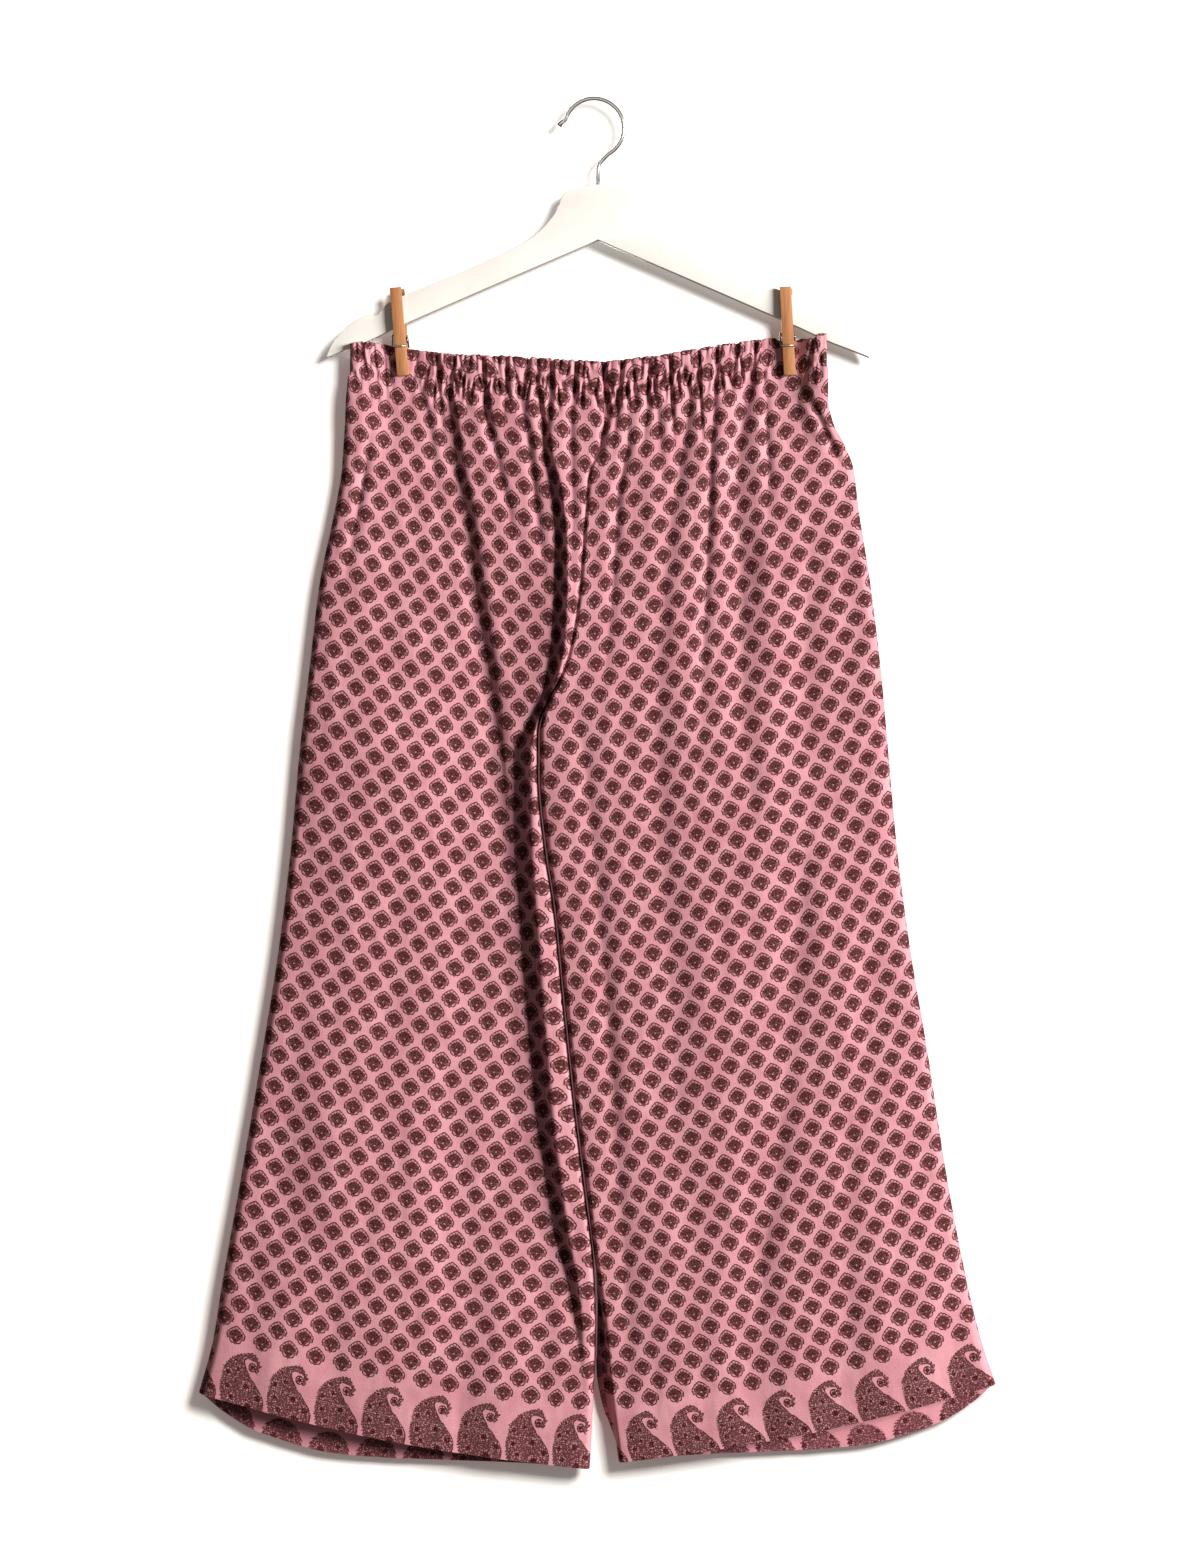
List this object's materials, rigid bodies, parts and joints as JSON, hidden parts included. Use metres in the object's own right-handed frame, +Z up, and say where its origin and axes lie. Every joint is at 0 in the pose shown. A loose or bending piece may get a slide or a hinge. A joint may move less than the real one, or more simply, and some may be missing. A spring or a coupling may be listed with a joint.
{
  "type": "palazzo pants pegged to a wooden hanger",
  "caption": "Wide-leg palazzo pants with a gathered elastic waist, hanging flat from two clothes pegs on a flat wooden hanger with a wire hook.",
  "frame": {"origin": "inner top of the hanger's hook, where the rail carries it", "axes": "+Z up, -Y out of the garment's front, +X to the right seen from the front"},
  "size_m": [0.6464, 0.0347, 1.1126],
  "materials": {
    "printed_cloth": "soft woven viscose, pink ground with a dark red-brown print",
    "white_paint": "satin white paint on wood",
    "plated_steel": "bright plated wire",
    "plain_wood": "plain sanded beech"
  },
  "bodies": {
    "root": {"front_leg_left": "printed_cloth", "front_leg_right": "printed_cloth", "back_leg_left": "printed_cloth", "back_leg_right": "printed_cloth", "waistband_front": "printed_cloth", "waistband_back": "printed_cloth", "hanger_body": "white_paint", "hanger_hook": "plated_steel", "peg_left_front": "plain_wood", "peg_left_back": "plain_wood", "peg_left_spring": "plated_steel", "peg_right_front": "plain_wood", "peg_right_back": "plain_wood", "peg_right_spring": "plated_steel"}
  },
  "joints": []
}
